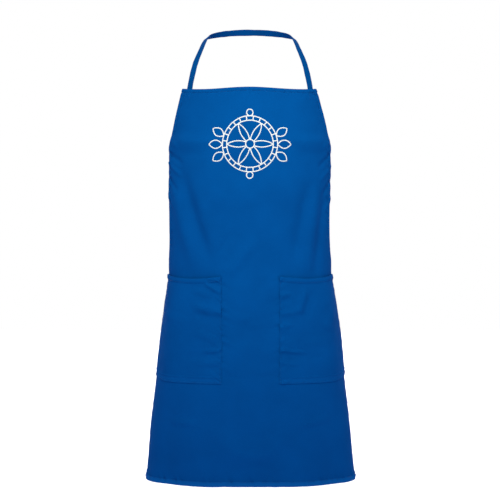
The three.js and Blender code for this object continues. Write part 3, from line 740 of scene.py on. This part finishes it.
def makeNeckStrap():
    across = float(edgeAt(0.0)) - tape["strapInset"]
    sewn = [sewnStation(across, drop) for drop in (tape["sewnLength"], tape["sewnLength"] / 2, 0.0)]
    bibForward = -sewn[-1][1]
    free = []
    for out, forward, drop, faceX, faceY, faceZ in neckRoute:
        free.append((out * tape["neckHalfWidth"], -forward * bibForward + tape["thickness"] / 2,
                     -drop * panel["bibTopDrop"], faceX, faceY, faceZ))
    right = sewn + free
    nape = [(0, tape["thickness"] / 2, 0, 0, 1, 0)]
    left = [(-x, y, z, -fx, fy, fz) for x, y, z, fx, fy, fz in reversed(right)]
    makeTape("neckStrap", "neck_strap", right + nape + left, 41)


def makeWaistTie(name, node, side):
    x, y, along, edge, _ = sectionAt(tape["tieDrop"])
    back = along[-1]

    def around(a):
        return np.array([np.interp(a, along, x), np.interp(a, along, y)])

    sewnLine = np.linspace(edge - tape["tieSewnLength"], edge - 1, 4)
    sewn = [sewnStation(side * a, tape["tieDrop"]) for a in sewnLine]
    free = []
    for a in np.linspace(edge + tape["width"], back - knot["width"] / 2 - knot["clearance"], 13):
        way = around(min(a + 0.5, back)) - around(a - 0.5)
        face = np.array([way[1], -way[0]]) / np.linalg.norm(way)
        place = around(a) + face * sewnOffset
        z = -panel["bibTopDrop"] - tape["tieDrop"]
        free.append((side * place[0], place[1], z, side * face[0], face[1], 0))
    makeTape(name, node, sewn + free, 43 + side)


knot = {
    "width": 15.0,
    "depth": 13.0,
    "height": 19.0,
    "loopLength": 84.0,
    "endLength": 318.0,
    "clearance": 0.3,
    "strandGap": 0.9,
}

# out in loop lengths, back in knot depths, and drop in loop lengths
bowRoute = [
    (0.12, 0.05, 0),
    (0.32, 0.05, 0.03),
    (0.6, 0.0, 0.14),
    (0.88, 0.15, 0.34),
    (1, 0.75, 0.47),
    (0.9, 1.35, 0.45),
    (0.6, 1.25, 0.3),
    (0.32, 0.6, 0.08),
    (0.12, 0.3, 0),
]

# down in end lengths, out and back in tape widths
endRoute = [
    (0, 0, 0),
    (0.08, 0.15, 0.2),
    (0.25, 0.9, 0.5),
    (0.5, 1.5, -0.1),
    (0.75, 1.7, 0.3),
    (1, 2.2, 0.1),
]


def knotCentre():
    y = sectionAt(tape["tieDrop"])[1][-1]
    return np.array([0, y + sewnOffset + knot["depth"] / 4, -panel["bibTopDrop"] - tape["tieDrop"]])


def makeKnot():
    # a soft wrapped band, pinched by the strands that run through it
    u = np.linspace(0, 2 * math.pi, 48, endpoint=False)
    v = np.linspace(-math.pi / 2, math.pi / 2, 25)[1:-1]
    around, up = np.meshgrid(u, v)
    power = 0.55
    wide = np.sign(np.cos(around)) * np.abs(np.cos(around)) ** power
    deep = np.sign(np.sin(around)) * np.abs(np.sin(around)) ** power
    ring = np.abs(np.cos(up)) ** 0.45
    high = np.sign(np.sin(up)) * np.abs(np.sin(up)) ** 0.8
    crease = 1 - 0.05 * np.cos(3 * up + 2.0 * np.sin(around)) ** 2 - 0.06 * bump(high, 0.15, 0.12)
    centre = knotCentre()
    points = np.stack([
        centre[0] + knot["width"] / 2 * wide * ring * crease,
        centre[1] + knot["depth"] / 2 * deep * ring * crease,
        centre[2] + knot["height"] / 2 * high,
    ], axis=-1)
    rows, columns = points.shape[:2]
    index = np.arange(rows * columns).reshape(rows, columns)
    following = np.roll(index, -1, axis=1)
    faces = np.stack([index[:-1], following[:-1], following[1:], index[1:]], -1).reshape(-1, 4).tolist()
    tip = np.array([0, 0, knot["height"] / 2])
    vertices = np.vstack([points.reshape(-1, 3), centre - tip, centre + tip])
    low, top = rows * columns, rows * columns + 1
    for k in range(columns):
        faces.append((int(index[0, (k + 1) % columns]), int(index[0, k]), low))
        faces.append((int(index[-1, k]), int(index[-1, (k + 1) % columns]), top))
    uv = np.stack([around * 2.2, up * 6], axis=-1).reshape(-1, 2)
    uv = np.vstack([uv, [[0, -9], [0, 9]]]) * mm
    piece = meshPiece("bowKnot", vertices, faces, tapeTwill, uv)
    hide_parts("bow_knot")
    print("knot", len(piece.data.polygons))


def makeBowLoop(name, node, side):
    centre = knotCentre()
    start = knot["width"] / 2 + knot["clearance"]
    scale = np.array([knot["loopLength"], knot["depth"], knot["loopLength"]])
    rows = np.vstack([[0, 0, 0], np.array(bowRoute) * scale, [0, tape["thickness"] + knot["strandGap"], 0]])
    places = np.stack([side * (start + rows[:, 0]), centre[1] + rows[:, 1], centre[2] - rows[:, 2]], axis=1)
    tangent = np.gradient(places, axis=0)
    face = np.cross(tangent, [0, 0, 1.0])
    face /= np.linalg.norm(face, axis=1, keepdims=True)
    widths = ([0, 0.12, 0.88, 1], [0.72, 1, 1, 0.72])
    makeTape(name, node, np.hstack([places, face]), 51 + side, widths)


def makeTieEnd(name, node, side):
    centre = knotCentre()
    layer = centre[1] + side * (tape["thickness"] / 2 + knot["clearance"])
    top = centre[2] - knot["height"] / 2 - knot["clearance"]
    rows = []
    for down, out, back in endRoute:
        place = (side * out * tape["width"], layer + back * tape["width"], top - down * knot["endLength"])
        rows.append((*place, 0.15 * side * math.sin(5 * down), 1, 0))
    makeTape(name, node, rows, 61 + side)


rosette = {
    "centreDrop": 104.6,
    "lineWidth": 2.0,
    "ringRadius": 51.0,
    "ringGap": 8.0,
    "centreRadius": 8.0,
    "ticks": 24,
    "leafLength": 25.0,
    "leafBow": 0.3,
    "leafTurn": 0.62,  # radians between the leaves
    "finialRadius": 6.0,
    "inkHeight": 0.35,
    "inkGrain": 0.9,
    "inkColour": "#f6f9fc",
    "inkShade": "#dfe7f0",
}


def rosetteLines():
    # centre lines on the flat, x to the right and y up from the rosette's centre
    r = rosette
    inner = r["ringRadius"] - r["ringGap"]
    lines = []

    def arc(cx, cy, radius, start, end):
        steps = max(int(abs(end - start) * radius / 1.3), 5)
        angle = np.linspace(start, end, steps)
        lines.append(np.stack([cx + radius * np.cos(angle), cy + radius * np.sin(angle)], axis=1))

    for radius in (r["ringRadius"], inner, r["centreRadius"]):
        arc(0, 0, radius, 0, 2 * math.pi)
    for k in range(6):
        angle = k * math.pi / 3
        # a petal's edge, with its middle left open for the small ring
        gap = 2 * math.asin(r["centreRadius"] / 2 / inner)
        for start, end in ((math.pi * 2 / 3, math.pi - gap), (math.pi + gap, math.pi * 4 / 3)):
            arc(inner * math.cos(angle), inner * math.sin(angle), inner, angle + start, angle + end)
    for k in range(r["ticks"]):
        angle = (k + 0.5) * 2 * math.pi / r["ticks"]
        way = np.array([math.cos(angle), math.sin(angle)])
        lines.append(np.array([way * s for s in np.linspace(inner, r["ringRadius"], 6)]))
    for side in (0, math.pi):
        for tilt in (-r["leafTurn"], 0, r["leafTurn"]):
            root = np.array([math.cos(side + tilt * 0.5), math.sin(side + tilt * 0.5)]) * r["ringRadius"]
            along = np.array([math.cos(side + tilt), math.sin(side + tilt)])
            across = np.array([-along[1], along[0]])
            s = np.linspace(0, 1, 18)
            bow = 4 * r["leafBow"] * s * (1 - s) * r["leafLength"]
            for sign in (1, -1):
                lines.append(root + np.outer(s * r["leafLength"], along) + np.outer(sign * bow, across))
    for up in (1, -1):
        arc(0, up * (r["ringRadius"] + r["finialRadius"]), r["finialRadius"], 0, 2 * math.pi)
    return lines


def makePrint(material):
    r = rosette
    vertices, faces, uvs = [], [], []
    for line in rosetteLines():
        tangent = np.gradient(line, axis=0)
        tangent /= np.linalg.norm(tangent, axis=1, keepdims=True)
        aside = np.stack([-tangent[:, 1], tangent[:, 0]], axis=1)
        half = r["lineWidth"] / 2
        rows = []
        for share, height in ((-1, 0.0), (-0.9, 0.75), (0, 1.0), (0.9, 0.75), (1, 0.0)):
            flat = line + aside * half * share
            rows.append(onCloth(flat[:, 0], r["centreDrop"] - flat[:, 1], 0.12 + r["inkHeight"] * height)[0])
        for share in (1, -1):
            flat = line + aside * half * share
            rows.append(onCloth(flat[:, 0], r["centreDrop"] - flat[:, 1], 0.06)[0])
        grid = np.stack(rows, axis=1)
        count, around = grid.shape[:2]
        start = sum(len(block) for block in vertices)
        index = start + np.arange(count * around).reshape(count, around)
        following = np.roll(index, -1, axis=1)
        faces += np.stack([index[:-1], index[1:], following[1:], following[:-1]], -1).reshape(-1, 4).tolist()
        faces.append(index[0].tolist())
        faces.append(index[-1][::-1].tolist())
        vertices.append(grid.reshape(-1, 3))
        uvs.append(np.repeat(line, around, axis=0))
    uv = np.vstack(uvs) * mm
    piece = meshPiece("chestRosettePrint", np.vstack(vertices), faces, material, uv)
    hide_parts("chest_print")
    print("print", len(piece.data.polygons))


def inkMaterial():
    # plastisol screen ink: opaque white, smooth, with the ribs of the cloth just showing through
    material, tree, shader = newMaterial("white plastisol screen print", 0.55, 0.4)
    cloth = addNode(tree, "ShaderNodeUVMap", uv_map="cloth")
    grain = addNode(tree, "ShaderNodeTexNoise",
                    {"Vector": cloth.outputs["UV"], "Scale": 1 / (rosette["inkGrain"] * mm), "Detail": 2.0})
    relief = addNode(tree, "ShaderNodeBump",
                     {"Height": grain.outputs["Fac"], "Strength": 0.3, "Distance": 0.1 * mm})
    colour = twoTone(tree, grain.outputs["Fac"], rosette["inkShade"], rosette["inkColour"], 0.3, 0.6)
    tree.links.new(colour, shader.inputs["Base Color"])
    tree.links.new(relief.outputs["Normal"], shader.inputs["Normal"])
    return material


def threadMaterial():
    # spun polyester sewing thread: dyed to match, a little glossier than the cloth
    material, tree, shader = newMaterial("spun polyester thread, royal blue", 0.6, 0.25)
    place = addNode(tree, "ShaderNodeTexCoord")
    twist = addNode(tree, "ShaderNodeTexNoise",
                    {"Vector": place.outputs["Object"], "Scale": 1 / (stitching["twistGrain"] * mm)})
    colour = twoTone(tree, twist.outputs["Fac"], stitching["shade"], stitching["colour"], 0.0, 1.0)
    tree.links.new(colour, shader.inputs["Base Color"])
    return material


stitching = {
    "pitch": 3.2,
    "length": 2.6,
    "thread": 0.42,
    "colour": "#0d5fae",
    "shade": "#00468c",
    "twistGrain": 0.5,
    "sunk": 0.12,  # how far the middle of a stitch lies under the cloth's face
    "boxSunk": -0.08,
    "seed": 5,
}

# a boxed cross-stitch that holds the strap: across from the strap's middle, and drop
crossBox = [(-4, 9.5), (4, 9.5), (4, 19), (-4, 19), (-4, 9.5), (4, 19)]


def stitchRuns():
    # the sewn lines, as rows of points at the cloth's face
    p = pocketSizes
    total = panel["panelDrop"]
    sunk = stitching["sunk"]
    cloth = panel["clothThickness"] - sunk
    runs = []

    def clothRun(across, drop, depth):
        runs.append(onCloth(across, drop, -depth)[0])

    def pocketRun(side, c, r, offset):
        runs.append(pocketPoint(side, c, r, offset)[0])

    def acrossRun(drop, count):
        drops = np.full(count, drop)
        clothRun(np.linspace(-1, 1, count) * (edgeAt(drops) - 1.5), drops, sunk)

    def sideRun(side, start, end, count):
        drops = np.linspace(start, end, count)
        clothRun(side * (edgeAt(drops) - panel["sideHem"] + 1), drops, sunk)

    acrossRun(panel["topHem"] - 1, 260)
    acrossRun(total - panel["bottomHem"] + 1, 520)
    for side in (-1, 1):
        sideRun(side, 2, p["mouthDrop"] - 4, 360)
        sideRun(side, p["mouthDrop"] + p["height"] - 4, total - 2, 220)
        r = np.linspace(0.004, 0.985, 240)
        for c in (p["seamInset"] / p["flatWidth"], 1 - p["sideSeamInset"] / p["flatWidth"]):
            pocketRun(side, np.full_like(r, c), r, cloth)
        c = np.linspace(0.012, 0.985, 200)
        pocketRun(side, c, np.full_like(c, 1 - p["seamInset"] / p["height"]), cloth)
        pocketRun(side, c, np.full_like(c, (p["mouthHem"] - 1) / p["height"]), cloth + panel["hemFold"])
        middle = float(edgeAt(0.0)) - tape["strapInset"]
        for (a0, d0), (a1, d1) in zip(crossBox[:-1], crossBox[1:]):
            s = np.linspace(0, 1, 10)
            clothRun(side * (middle + a0 + (a1 - a0) * s), d0 + (d1 - d0) * s, stitching["boxSunk"])
    return runs


def stitchTree(material):
    tree = bpy.data.node_groups.new("sewnStitches", "GeometryNodeTree")
    sockets = {}
    tree.interface.new_socket("Geometry", in_out="INPUT", socket_type="NodeSocketGeometry")
    for name in ("Pitch", "Stitch length", "Thread width"):
        sockets[name] = tree.interface.new_socket(name, in_out="INPUT", socket_type="NodeSocketFloat")
    sockets["Seed"] = tree.interface.new_socket("Seed", in_out="INPUT", socket_type="NodeSocketInt")
    tree.interface.new_socket("Geometry", in_out="OUTPUT", socket_type="NodeSocketGeometry")
    given = addNode(tree, "NodeGroupInput").outputs
    line = addNode(tree, "GeometryNodeMeshToCurve", {"Mesh": given["Geometry"]})
    spaced = addNode(tree, "GeometryNodeResampleCurve",
                     {"Curve": line.outputs["Curve"], "Length": given["Pitch"]}, mode="LENGTH")
    tangent = addNode(tree, "GeometryNodeInputTangent")
    turn = addNode(tree, "FunctionNodeAlignEulerToVector", {"Vector": tangent.outputs["Tangent"]}, axis="Z")
    bead = addNode(tree, "GeometryNodeMeshUVSphere", {"Segments": 6, "Rings": 4, "Radius": 0.5})
    uneven = addNode(tree, "FunctionNodeRandomValue", {2: 0.9, 3: 1.08, "Seed": given["Seed"]},
                     data_type="FLOAT")
    length = addNode(tree, "ShaderNodeMath", {0: given["Stitch length"], 1: uneven.outputs[1]},
                     operation="MULTIPLY")
    width = given["Thread width"]
    size = addNode(tree, "ShaderNodeCombineXYZ", {"X": width, "Y": width, "Z": length.outputs[0]})
    placed = addNode(tree, "GeometryNodeInstanceOnPoints",
                     {"Points": spaced.outputs["Curve"], "Instance": bead.outputs["Mesh"],
                      "Rotation": turn.outputs["Rotation"], "Scale": size.outputs[0]})
    real = addNode(tree, "GeometryNodeRealizeInstances", {"Geometry": placed.outputs["Instances"]})
    finished = addNode(tree, "GeometryNodeSetMaterial",
                       {"Geometry": real.outputs["Geometry"], "Material": material})
    result = addNode(tree, "NodeGroupOutput")
    tree.links.new(finished.outputs["Geometry"], result.inputs["Geometry"])
    return tree, sockets


def makeStitches(material):
    vertices, edges = [], []
    for run in stitchRuns():
        start = len(vertices)
        vertices += (run * mm).tolist()
        edges += [(start + k, start + k + 1) for k in range(len(run) - 1)]
    mesh = bpy.data.meshes.new("stitchLines")
    mesh.from_pydata(vertices, edges, [])
    guide = linkObject("stitchLines", mesh)
    tree, sockets = stitchTree(material)
    modifier = guide.modifiers.new("stitches", "NODES")
    modifier.node_group = tree
    modifier[sockets["Pitch"].identifier] = stitching["pitch"] * mm
    modifier[sockets["Stitch length"].identifier] = stitching["length"] * mm
    modifier[sockets["Thread width"].identifier] = stitching["thread"] * mm
    modifier[sockets["Seed"].identifier] = stitching["seed"]
    evaluated = guide.evaluated_get(bpy.context.evaluated_depsgraph_get())
    plain = bpy.data.meshes.new_from_object(evaluated)
    plain.name = "seamStitches"
    plain.polygons.foreach_set("use_smooth", np.ones(len(plain.polygons), dtype=bool))
    bpy.data.objects.remove(guide)
    piece = linkObject("seamStitches", plain)
    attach(piece, "root")
    print("stitches", len(plain.polygons), "faces")


makePanel()
makePocket("patchPocketLeft", "pocket_left", -1)
makePocket("patchPocketRight", "pocket_right", 1)
makeNeckStrap()
makeWaistTie("waistTieLeft", "waist_tie_left", -1)
makeWaistTie("waistTieRight", "waist_tie_right", 1)
makeKnot()
makeBowLoop("bowLoopLeft", "bow_loop_left", -1)
makeBowLoop("bowLoopRight", "bow_loop_right", 1)
makeTieEnd("tieEndLeft", "tie_end_left", -1)
makeTieEnd("tieEndRight", "tie_end_right", 1)
makePrint(inkMaterial())
makeStitches(threadMaterial())

studio = {
    "cameraDistance": 3300.0,
    "limbPlane": -60.0,
    "cameraHeight": -257.0,
    "cameraPitch": 2.83,
    "lens": 123.75,
    "floorHeight": -1450.0,  # below the nape
    "backWall": (1.0, 1.0, 1.0),
    "frontFill": (0.365, 0.365, 0.465),
    "sideFill": (0.205, 0.205, 0.27),
    "ceilingGain": 0.5,  # how much brighter the room is above than at eye level
    "wallStart": 0.90,  # how squarely a direction faces the back wall, where its edge fades in
    "wallFull": 0.965,
    "keyPlace": (0.05, -2.0, 1.15),
    "keyTarget": (0.0, -0.17, -0.215),
    "keySize": (0.5, 0.5),
    "keySpread": 28.0,
    "keyPower": 1.4,
    "keyColour": (1.0, 1.0, 0.76),
    "floorSize": 18.0,
    "floorLightPlace": (0, 7, 3.2),
    "floorLightTarget": (0, 7, -1.45),
    "floorLightSize": (12, 8),
    "floorLightPower": 900.0,
}


def makeWorld():
    # a white wall behind the object, in a dimmer room
    s = studio
    world = bpy.data.worlds.new("paleStudio")
    world.use_nodes = True
    tree = world.node_tree
    tree.nodes.clear()
    place = addNode(tree, "ShaderNodeTexCoord")
    parts = addNode(tree, "ShaderNodeSeparateXYZ", {"Vector": place.outputs["Generated"]})
    ahead = addNode(tree, "ShaderNodeMapRange",
                    {"Value": parts.outputs["Y"], "From Min": -0.1, "From Max": -0.8})
    room = addNode(tree, "ShaderNodeMix", {"Factor": ahead.outputs["Result"], "A": (*s["sideFill"], 1),
                                           "B": (*s["frontFill"], 1)}, data_type="RGBA")
    height = addNode(tree, "ShaderNodeMapRange",
                     {"Value": parts.outputs["Z"], "From Min": -1.0, "From Max": 1.0,
                      "To Min": 1 - s["ceilingGain"], "To Max": 1 + s["ceilingGain"]})
    lit = addNode(tree, "ShaderNodeVectorMath", {0: room.outputs[2], "Scale": height.outputs["Result"]},
                  operation="SCALE")
    behind = addNode(tree, "ShaderNodeMapRange",
                     {"Value": parts.outputs["Y"], "From Min": s["wallStart"], "From Max": s["wallFull"]})
    colour = addNode(tree, "ShaderNodeMix", {"Factor": behind.outputs["Result"], "A": lit.outputs[0],
                                             "B": (*s["backWall"], 1)}, data_type="RGBA")
    glow = addNode(tree, "ShaderNodeBackground", {"Color": colour.outputs[2], "Strength": 1.0})
    addNode(tree, "ShaderNodeOutputWorld", {"Surface": glow.outputs["Background"]})
    scene.world = world


def makeStudio():
    s = studio
    makeWorld()
    bpy.ops.mesh.primitive_plane_add(size=s["floorSize"], location=(0, 0, s["floorHeight"] * mm))
    floor = bpy.context.object
    floor.name = "studioFloor"
    # painted boards: matt and almost white
    material, _, shader = newMaterial("white painted studio floor", 0.9, 0.5)
    shader.inputs["Base Color"].default_value = linearColour("#f8f8f8")
    floor.data.materials.append(material)

    def areaLight(name, place, target, size, power, colour=(1, 1, 1), spread=180):
        light = bpy.data.lights.new(name, "AREA")
        light.shape = "RECTANGLE"
        light.size, light.size_y = size
        light.energy = power
        light.color = colour
        light.spread = math.radians(spread)
        lamp = linkObject(name, light)
        lamp.location = Vector(place)
        lamp.rotation_euler = (Vector(target) - Vector(place)).to_track_quat("-Z", "Y").to_euler()

    areaLight("keyLight", s["keyPlace"], s["keyTarget"], s["keySize"], s["keyPower"], s["keyColour"],
              s["keySpread"])
    areaLight("floorLight", s["floorLightPlace"], s["floorLightTarget"], s["floorLightSize"],
              s["floorLightPower"])
    camera = bpy.data.cameras.new("photoCamera")
    camera.lens = s["lens"]
    camera.sensor_width = 36
    eye = linkObject("photoCamera", camera)
    eye.location = (0, (s["limbPlane"] - s["cameraDistance"]) * mm, s["cameraHeight"] * mm)
    eye.rotation_euler = (math.radians(90 - s["cameraPitch"]), 0, 0)
    scene.camera = eye
    scene.view_settings.view_transform = "Standard"
    scene.view_settings.look = "None"


makeStudio()
